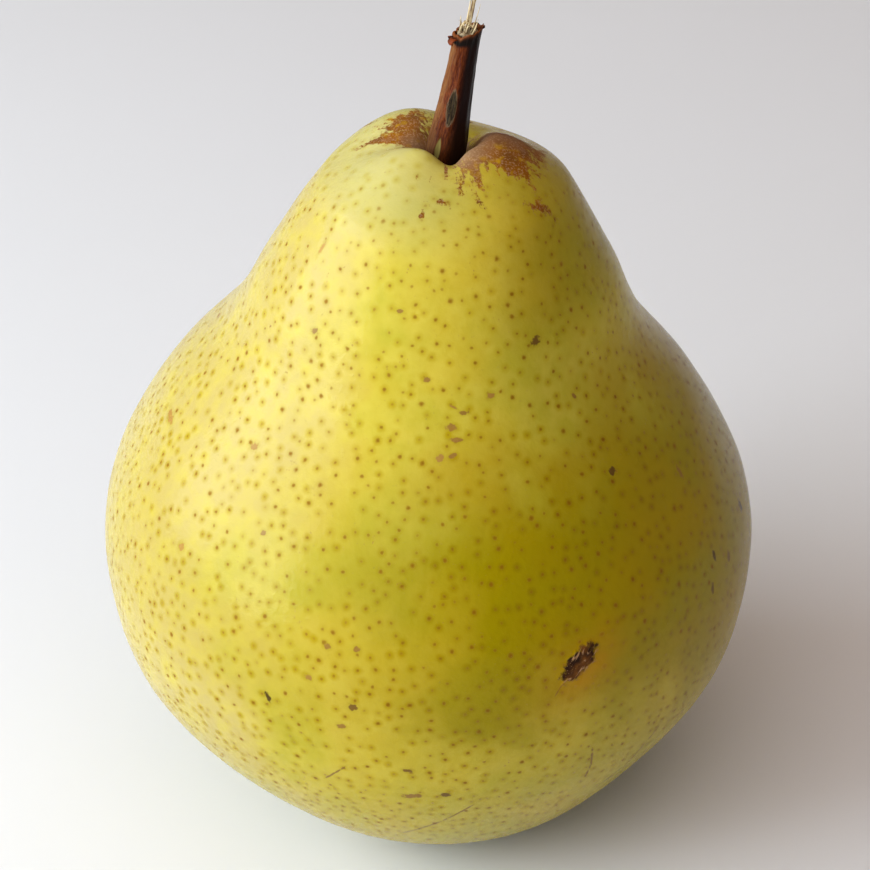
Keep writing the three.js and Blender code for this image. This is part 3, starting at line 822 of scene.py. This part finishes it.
stem = turned(smooth_outline(STEM_OUTLINE, STEM_ROWS), STEM_SIDES)
bark_flow, bark_places = [], []
for vert in stem.verts:
    x, y, height = vert.co
    angle = math.atan2(y, x)
    radius = math.hypot(x, y)
    leaf_scar = lens_distance(math.degrees(angle), height, radius, LEAF_SCAR)
    green_patch = lens_distance(math.degrees(angle), height, radius, GREEN_PATCH)
    bark_flow.extend((math.cos(angle), math.sin(angle), height / 10))
    hollow_radius = HOLLOW_RADIUS + HOLLOW_FLARE * (height - HOLLOW_FLOOR)
    inner_wall = rise_between(-0.1, 0.1, hollow_radius - radius) * rise_between(100, 100.2, height)
    bark_places.extend((min(leaf_scar, FAR_AWAY), min(green_patch, FAR_AWAY), inner_wall))
    ridge = sum(rise * math.cos(count * angle + math.radians(twist * height))
                for count, rise, twist in STEM_RIDGES)
    weathered = rise_between(-0.2, 0.6, math.cos(angle - math.radians(WEATHERED_SIDE)))
    sway = CRINKLE_SWAY * noise.noise(Vector((math.cos(angle), math.sin(angle), height * 0.5)))
    coarse, fine = (
        noise.noise(Vector((count * math.cos(angle + sway), count * math.sin(angle + sway), height * rate)))
        for count, rate in CRINKLES)
    ridge += CRINKLE_HEIGHT * (LEAST_CRINKLED + (1 - LEAST_CRINKLED) * weathered) * (coarse + 0.5 * fine)
    ridge += SCAR_RIM_HEIGHT * bell(leaf_scar - 1, SCAR_RIM_WIDTH)
    grown = 1 + ridge * min(radius, 1) / max(radius, LEAST_RADIUS)
    torn = RIM_TILT * math.cos(angle - math.radians(RIM_HIGH_SIDE)) + RIM_RAGGED * math.sin(RIM_TEETH * angle)
    crumb = Vector((RIM_CRUMBS * math.cos(angle), RIM_CRUMBS * math.sin(angle), 1))
    torn += RIM_CRUMBLED * noise.noise(crumb)
    at_rim = rise_between(RIM_BEGINS, RIM_FULL, height) * rise_between(RIM_INSIDE, RIM_OUTSIDE, radius)
    vert.co = (x * grown + stem_drift(height), y * grown, height + torn * at_rim)


def stem_bark():
    """Smooth young bark: satin red-brown, a dull tan weathered side partly painted light, a nearly black side
    partly painted shade.
    """
    finish, tree, shader = new_finish("pear_stem_bark", specular_ior_level=0.08)
    flow = add_node(tree, "ShaderNodeAttribute", attribute_name="bark_flow").outputs["Vector"]
    places = add_node(tree, "ShaderNodeAttribute", attribute_name="bark_places").outputs["Vector"]
    side = add_node(tree, "ShaderNodeSeparateXYZ", {0: flow}).outputs
    places = add_node(tree, "ShaderNodeSeparateXYZ", {0: places}).outputs
    bands = add_node(tree, "ShaderNodeTexNoise", {"Vector": flow, "Scale": 4, "Detail": 4, "Roughness": 0.6,
                                                  "Distortion": 0.8}).outputs[0]
    fibres = add_node(tree, "ShaderNodeTexNoise", {"Vector": flow, "Scale": 11, "Detail": 3,
                                                   "Roughness": 0.7}).outputs[0]
    wave = add_node(tree, "ShaderNodeMath", {0: bands, 1: 1.6, 2: -0.8}, operation="MULTIPLY_ADD").outputs[0]
    wavy_side = add_node(tree, "ShaderNodeMath", {0: side["X"], 1: wave}, operation="ADD").outputs[0]
    leaf_scar = add_node(tree, "ShaderNodeMath", {0: places["X"], 1: wave}, operation="ADD").outputs[0]
    # A unit of bark_flow is a radius round the stem and a centimetre up it, so its fibres are about
    # 0.2 mm wide and 1 mm long. Bark dried nearly black at the torn rim. It is darker low down as painted
    # shade where it sinks into the well.
    masks = {"inner_wall": places["Z"]}
    for name, value, begin, full, most, change in (
            ("streak", fibres, 0.42, 0.62, 1, "LINEAR"),
            # The side turned from the window is nearly black, partly its own colour and partly painted shade.
            ("dark_and_shaded_side", side["X"], -0.3, 0.4, 1, "SMOOTHSTEP"),
            ("band", bands, 0.4, 0.6, 1, "SMOOTHSTEP"),
            # The tan weathered side faces the window, and is partly painted light.
            ("tan_and_lit_side", wavy_side, -0.6, -0.88, 1, "SMOOTHSTEP"),
            ("leaf_scar", leaf_scar, 1.15, 0.8, 1, "SMOOTHSTEP"),
            ("green_patch", places["Y"], 1.2, 0.6, 1, "SMOOTHSTEP"),
            ("dried", side["Z"], 9.96, 10.02, 1, "SMOOTHSTEP"),
            # Painted shade: darker low down, where the stem sinks into the well.
            ("painted_dark_foot", side["Z"], 9.3, 8.55, 0.6, "SMOOTHSTEP")):
        reach = {"Value": value, "From Min": begin, "From Max": full, "To Max": most}
        masks[name] = add_node(tree, "ShaderNodeMapRange", reach, interpolation_type=change).outputs[0]
    edge = add_node(tree, "ShaderNodeMath", {0: leaf_scar, 1: 1, 2: 0.12}, operation="COMPARE").outputs[0]
    edge = add_node(tree, "ShaderNodeMath", {0: edge, 1: bands}, operation="MULTIPLY").outputs[0]
    masks["leaf_scar_edge"] = edge
    colours = {}
    for layer, ground, *overs in (
            ("tan", "#582C12", ("band", "#82562E"), ("streak", "#6C401E")),
            ("grey", "#1C1209", ("streak", "#40341F")),
            # The near-black side is partly painted shade, the tan side partly painted light, the foot painted
            # shade.
            ("bark", "#421602", ("streak", "#6A300C"), ("dark_and_shaded_side", "#180502"), ("tan_and_lit_side", "tan"),
             ("leaf_scar", "grey"), ("leaf_scar_edge", "#64523C"), ("green_patch", "#A0904E"),
             ("dried", "#0E0503"), ("painted_dark_foot", "#20140A"), ("inner_wall", "#6E3A18"))):
        colours[layer] = colour(ground)
        for mask, over in overs:
            colours[layer] = add_node(tree, "ShaderNodeMix", {0: masks[mask], 6: colours[layer],
                                                             7: colours.get(over) or colour(over)},
                                      data_type="RGBA").outputs[2]
    tree.links.new(colours["bark"], shader.inputs["Base Color"])
    rough = add_node(tree, "ShaderNodeMix", {0: masks["tan_and_lit_side"], 2: 0.42, 3: 0.6})
    tree.links.new(rough.outputs[0], shader.inputs["Roughness"])
    bump = add_node(tree, "ShaderNodeBump", {"Height": fibres, "Strength": 0.5, "Distance": 0.08 * MM})
    tree.links.new(bump.outputs[0], shader.inputs["Normal"])
    return finish


stalk = shown("pear_stem", stem, stem_bark())
for name, values in (("bark_flow", bark_flow), ("bark_places", bark_places)):
    stalk.data.attributes.new(name, "FLOAT_VECTOR", "POINT").data.foreach_set("vector", values)
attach(stalk, "root")
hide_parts("stem")


# ---- Torn bark ----
# Flakes of bark peeled back round the torn end of the stem, rusty inside. They hang on to the rim
# by their roots.

FLAKES = [  # direction, length, width, curl in degrees
    (214, 1.2, 0.9, 205), (186, 0.8, 0.6, 120), (-2, 0.8, 0.8, 75), (60, 0.8, 1, 90), (120, 0.7, 0.9, 70),
]
FLAKE_THICKNESS, FLAKE_RAGGED, FLAKE_TAPER, FLAKE_BUCKLE = 0.13, 0.5, 0.35, 0.15
FLAKE_ROOT_RADIUS = 1.42
FLAKE_ROOT_HEIGHT = 100.6
BRUISE_MM = 0.9


def bark_flake(direction, length, width, curl):
    """A strip that rises from the rim and rolls outwards, narrower and ragged towards its tip."""
    strip = bmesh.new()
    bmesh.ops.create_grid(strip, x_segments=6, y_segments=12, size=0.5)
    bend = math.radians(curl) / length
    for vert in strip.verts:
        side, along = vert.co.x, (vert.co.y + 0.5) * length
        ragged = 1 + FLAKE_RAGGED * noise.noise(Vector((side * 3, along * 2.5, direction)))
        buckle = FLAKE_BUCKLE * noise.noise(Vector((side * 4, along, direction)))
        out = (1 - math.cos(bend * along)) / bend
        vert.co = (out + FLAKE_ROOT_RADIUS, side * width * ragged * (1 - FLAKE_TAPER * (along / length) ** 3),
                   math.sin(bend * along) / bend + buckle)
    bmesh.ops.recalc_face_normals(strip, faces=strip.faces)
    bmesh.ops.solidify(strip, geom=strip.faces[:], thickness=FLAKE_THICKNESS)
    level = FLAKE_ROOT_HEIGHT + RIM_TILT * math.cos(math.radians(direction - RIM_HIGH_SIDE))
    bmesh.ops.rotate(strip, verts=strip.verts, cent=(0, 0, 0),
                     matrix=Matrix.Rotation(math.radians(direction), 3, "Z"))
    bmesh.ops.translate(strip, verts=strip.verts, vec=(stem_drift(level), 0, level))
    return strip


def join(whole, part):
    """Adds one bmesh to another and frees it."""
    data = bpy.data.meshes.new("part")
    part.to_mesh(data)
    part.free()
    whole.from_mesh(data)
    bpy.data.meshes.remove(data)


def torn_bark():
    """Inner bark laid bare: dry, fibrous and rusty orange, darker where it was bruised."""
    finish, tree, shader = new_finish("torn_inner_bark", roughness=0.6, specular_ior_level=0.15)
    place = add_node(tree, "ShaderNodeTexCoord").outputs["Object"]
    bruise = add_node(tree, "ShaderNodeTexNoise", {"Vector": place, "Scale": 1 / (BRUISE_MM * MM),
                                                   "Detail": 3})
    share = add_node(tree, "ShaderNodeMapRange", {"Value": bruise.outputs[0], "From Min": 0.42,
                                                 "From Max": 0.62})
    rust = add_node(tree, "ShaderNodeMix", {0: share.outputs[0], 6: colour("#1C0A04"), 7: colour("#6E2C06")},
                    data_type="RGBA").outputs[2]
    tree.links.new(rust, shader.inputs["Base Color"])
    bump = add_node(tree, "ShaderNodeBump", {"Height": bruise.outputs[0], "Strength": 0.5,
                                             "Distance": 0.15 * MM})
    tree.links.new(bump.outputs[0], shader.inputs["Normal"])
    return finish


peeled = bmesh.new()
for flake in FLAKES:
    join(peeled, bark_flake(*flake))
flakes = shown("bark_flakes", peeled, torn_bark())
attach(flakes, "root")


# ---- Torn wood ----
# The wood inside the stem pulled apart into straw-coloured fibres that stand out of the hollow end.
# They are flat, bend as they dried, and taper to nothing. Short chips lie among their roots.

WOOD_RADIUS = 1.15
WOOD_TOP = 101.2
WOOD_OUTLINE = [(0, 100.4), (0.8, 100.3), (WOOD_RADIUS, 100.5), (WOOD_RADIUS, WOOD_TOP - 0.1),
                (0.8, WOOD_TOP), (0.4, WOOD_TOP), (0, WOOD_TOP)]
WOOD_SIDES = 40
WOOD_FOOT, TORN_HEIGHT, TORN_SCALE = 100.3, 0.35, 2.3
WOOD_GRAIN_MM, WOOD_STRETCH = 0.35, 0.15
FIBRE_ROOT_DEPTH, LOOP_ROOT_DEPTH = 0.5, 0.3
FIBRE_SEED = 23
FIBRES = [  # how many, shortest, longest, how far out they start, widest bend
    (6, 4.8, 6.6, 0.35, 0.35),
    (2, 3.6, 5.6, 0.9, 1.1),
    (17, 0.8, 2.3, 1, 0.9),
]
LOOPS = 4
FIBRE_WIDTH, FIBRE_TAPER, FIBRE_CLOSING, FIBRE_BOW = (0.08, 0.19), 0.85, 0.25, 0.4
STRAND_STEPS = 12
STRAND_SIDES = 6


def strand(path, widths, flatness=0.5):
    """A tapered flat strand through the points of a path, closed at both ends."""
    mesh = bmesh.new()
    bmesh.ops.create_circle(mesh, cap_ends=True, segments=STRAND_SIDES, radius=1)
    tip = mesh.faces[:]
    heading = Vector((0, 0, 1))
    place = Vector((0, 0, 0))
    size = 1
    bmesh.ops.scale(mesh, vec=(1, flatness, 1), verts=mesh.verts)
    for i, (point, width) in enumerate(zip(path, widths)):
        if i:
            tip = [part for part in bmesh.ops.extrude_face_region(mesh, geom=tip)["geom"]
                   if isinstance(part, bmesh.types.BMFace)]
        ring = tip[0].verts[:]
        if i + 1 < len(path):
            turn = heading.rotation_difference(path[i + 1] - point)
            heading = path[i + 1] - point
        bmesh.ops.scale(mesh, vec=(width / size,) * 3, space=Matrix.Translation(-place), verts=ring)
        bmesh.ops.rotate(mesh, cent=place, matrix=turn.to_matrix(), verts=ring)
        bmesh.ops.translate(mesh, vec=point - place, verts=ring)
        place, size = point, width
    bmesh.ops.recalc_face_normals(mesh, faces=mesh.faces)
    return mesh


def fibre_path(draw, length, farthest_out, most_bend):
    """A path that rises from the torn wood along the stem and bends one way, then a little back."""
    round_stem = draw.uniform(0, 2 * math.pi)
    out = farthest_out * math.sqrt(draw.random())
    bend, back, turn = draw.uniform(-0.3, 1) * most_bend, draw.uniform(-0.5, 0.5), draw.uniform(-1, 1)
    path = []
    for step in range(STRAND_STEPS + 1):
        share = step / STRAND_STEPS
        bow = back * math.sin(math.pi * share) * FIBRE_BOW
        reach = out * (1 - FIBRE_CLOSING * share) + bend * share ** 2 + bow
        height = WOOD_TOP - FIBRE_ROOT_DEPTH + length * share
        path.append(Vector((stem_drift(height) + reach * math.cos(round_stem + turn * share),
                            reach * math.sin(round_stem + turn * share), height)))
    return path


def loop_path(draw):
    """A short fibre that never broke: it arches up out of the torn wood and back into it."""
    direction, span, rise = draw.uniform(0, 2 * math.pi), draw.uniform(0.4, 0.7), draw.uniform(0.8, 1.7)
    middle = Vector((draw.uniform(-0.4, 0.4), draw.uniform(-0.5, 0.2), 0))
    path = []
    for step in range(STRAND_STEPS + 1):
        turn = math.pi * step / STRAND_STEPS
        height = WOOD_TOP - LOOP_ROOT_DEPTH + rise * math.sin(turn) ** 0.8
        sideways = -span * math.cos(turn) * Vector((math.cos(direction), math.sin(direction), 0))
        path.append(middle + sideways + Vector((stem_drift(height), 0, height)))
    return path


def torn_wood():
    """Dry torn wood: matt, straw-coloured and a little translucent at the edges, darker as painted shade low
    in its gaps.
    """
    finish, tree, shader = new_finish("torn_pear_wood", roughness=0.7, subsurface_weight=0.1,
                                      subsurface_radius=(1, 0.8, 0.5), subsurface_scale=0.4 * MM)
    place = add_node(tree, "ShaderNodeTexCoord").outputs["Object"]
    stretch = add_node(tree, "ShaderNodeMapping", {"Vector": place, "Scale": (1, 1, WOOD_STRETCH)})
    grain = add_node(tree, "ShaderNodeTexNoise", {"Vector": stretch.outputs[0],
                                                  "Scale": 1 / (WOOD_GRAIN_MM * MM), "Detail": 3})
    share = add_node(tree, "ShaderNodeMapRange", {"Value": grain.outputs[0], "From Min": 0.36,
                                                 "From Max": 0.56})
    straw = add_node(tree, "ShaderNodeMix", {0: share.outputs[0], 6: colour("#7A5A34"), 7: colour("#DCC698")},
                     data_type="RGBA").outputs[2]
    height = add_node(tree, "ShaderNodeSeparateXYZ", {0: place})
    # Painted shade: the wood darkens low down, among the roots of the fibres.
    painted_dark_low = add_node(tree, "ShaderNodeMapRange", {"Value": height.outputs["Z"], "From Min": 101.9 * MM,
                                                "From Max": 101 * MM, "To Max": 0.8})
    wood = add_node(tree, "ShaderNodeMix", {0: painted_dark_low.outputs[0], 6: straw, 7: colour("#3A2414")},
                    data_type="RGBA").outputs[2]
    tree.links.new(wood, shader.inputs["Base Color"])
    bump = add_node(tree, "ShaderNodeBump", {"Height": grain.outputs[0], "Strength": 0.4,
                                             "Distance": 0.05 * MM})
    tree.links.new(bump.outputs[0], shader.inputs["Normal"])
    return finish


draw = random.Random(FIBRE_SEED)
wood = turned(WOOD_OUTLINE, WOOD_SIDES)
for vert in wood.verts:
    vert.co.z += TORN_HEIGHT * noise.noise(vert.co * TORN_SCALE) * rise_between(0, 1, vert.co.z - WOOD_FOOT)
    vert.co.x += stem_drift(vert.co.z)
for count, shortest, longest, farthest_out, most_bend in FIBRES:
    for _ in range(count):
        thickest = draw.uniform(*FIBRE_WIDTH)
        widths = [thickest * (1 - FIBRE_TAPER * (step / STRAND_STEPS) ** 1.5)
                  for step in range(STRAND_STEPS + 1)]
        join(wood, strand(fibre_path(draw, draw.uniform(shortest, longest), farthest_out, most_bend), widths))
for _ in range(LOOPS):
    join(wood, strand(loop_path(draw), [draw.uniform(*FIBRE_WIDTH)] * (STRAND_STEPS + 1)))
fibres = shown("torn_wood_fibres", wood, torn_wood())
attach(fibres, "root")
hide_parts("torn_fibres")


# ---- Calyx ----
# What is left of the flower, dried hard in the basin under the fruit: a short cup with five curled
# sepals and a tuft of old stamens. It sits in the flesh.

CALYX_OUTLINE = [(0, 5.4), (1.3, 4.9), (2.1, 4.7), (2.4, 5.6), (2.3, 7), (2.2, 8.6), (0, 8.6)]
CALYX_ROWS, CALYX_SIDES = 40, 60
CUP_ROUGHNESS, CUP_SCALE = 0.15, 1.6
SEPALS, SEPAL_LENGTH, SEPAL_WIDTH, SEPAL_THICKNESS, SEPAL_ROOT, SEPAL_TOP = 5, 3.6, 2.6, 0.28, 1.7, 5.3
SEPAL_SLOPE, SEPAL_DROOP, SEPAL_CUP, SEPAL_RAGGED, SEPAL_CRINKLE = 0.35, 0.16, 0.3, 0.12, 0.22
STAMENS, STAMEN_ROOT, STAMEN_BEND = 16, 5.4, 0.5
STAMEN_WIDTHS = (0.1, 0.09, 0.08, 0.07, 0.07, 0.12, 0.05)  # its anther is the thick place by the tip
CALYX_X = core_drift(CALYX_OUTLINE[-1][1])
WITHER_MM = 0.7


def sepal(index):
    """A pointed blade that leans out of the cup, cupped across and crinkled, its tip curled down."""
    blade = bmesh.new()
    bmesh.ops.create_grid(blade, x_segments=16, y_segments=10, size=0.5)
    for vert in blade.verts:
        out, side = (vert.co.x + 0.5) * SEPAL_LENGTH, vert.co.y * 2
        share = out / SEPAL_LENGTH
        ragged = 1 + SEPAL_RAGGED * noise.noise(Vector((out, side, index)))
        half_width = SEPAL_WIDTH / 2 * (1 - share ** 2.2) * ragged
        crinkle = SEPAL_CRINKLE * noise.noise(Vector((out * 1.3, side * 2, index * 7)))
        height = SEPAL_TOP - SEPAL_SLOPE * out - SEPAL_DROOP * (out - 1) ** 2
        vert.co = (SEPAL_ROOT + out, side * half_width, height + SEPAL_CUP * side ** 2 * share + crinkle)
    bmesh.ops.remove_doubles(blade, verts=blade.verts, dist=0.001)
    bmesh.ops.recalc_face_normals(blade, faces=blade.faces)
    bmesh.ops.solidify(blade, geom=blade.faces[:], thickness=SEPAL_THICKNESS)
    bmesh.ops.rotate(blade, verts=blade.verts, cent=(0, 0, 0),
                     matrix=Matrix.Rotation(2 * math.pi * index / SEPALS, 3, "Z"))
    return blade


def dried_calyx():
    """Withered flower parts: matt dark brown, greyer on the ridges."""
    finish, tree, shader = new_finish("withered_calyx", roughness=0.85)
    place = add_node(tree, "ShaderNodeTexCoord").outputs["Object"]
    wither = add_node(tree, "ShaderNodeTexNoise", {"Vector": place, "Scale": 1 / (WITHER_MM * MM),
                                                   "Detail": 4})
    share = add_node(tree, "ShaderNodeMapRange", {"Value": wither.outputs[0], "From Min": 0.4,
                                                 "From Max": 0.65})
    brown = add_node(tree, "ShaderNodeMix", {0: share.outputs[0], 6: colour("#2E2016"), 7: colour("#7C6850")},
                     data_type="RGBA").outputs[2]
    tree.links.new(brown, shader.inputs["Base Color"])
    bump = add_node(tree, "ShaderNodeBump", {"Height": wither.outputs[0], "Strength": 0.6,
                                             "Distance": 0.25 * MM})
    tree.links.new(bump.outputs[0], shader.inputs["Normal"])
    return finish


flower = turned(smooth_outline(CALYX_OUTLINE, CALYX_ROWS), CALYX_SIDES)
for vert in flower.verts:
    outward = Vector((vert.co.x, vert.co.y, 0)).normalized()
    vert.co += outward * CUP_ROUGHNESS * noise.noise(vert.co * CUP_SCALE)
for index in range(SEPALS):
    join(flower, sepal(index))
for _ in range(STAMENS):
    round_cup, reach, drop = draw.uniform(0, 2 * math.pi), draw.uniform(0.2, 1.1), draw.uniform(1, 2.1)
    path = []
    for step in range(len(STAMEN_WIDTHS)):
        share = step / (len(STAMEN_WIDTHS) - 1)
        out = reach + STAMEN_BEND * share ** 2
        height = STAMEN_ROOT - drop * share
        path.append(Vector((out * math.cos(round_cup), out * math.sin(round_cup), height)))
    join(flower, strand(path, STAMEN_WIDTHS, flatness=1))
bmesh.ops.translate(flower, verts=flower.verts, vec=(CALYX_X, 0, 0))
calyx = shown("dried_calyx", flower, dried_calyx())
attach(calyx, "root")
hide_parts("calyx")
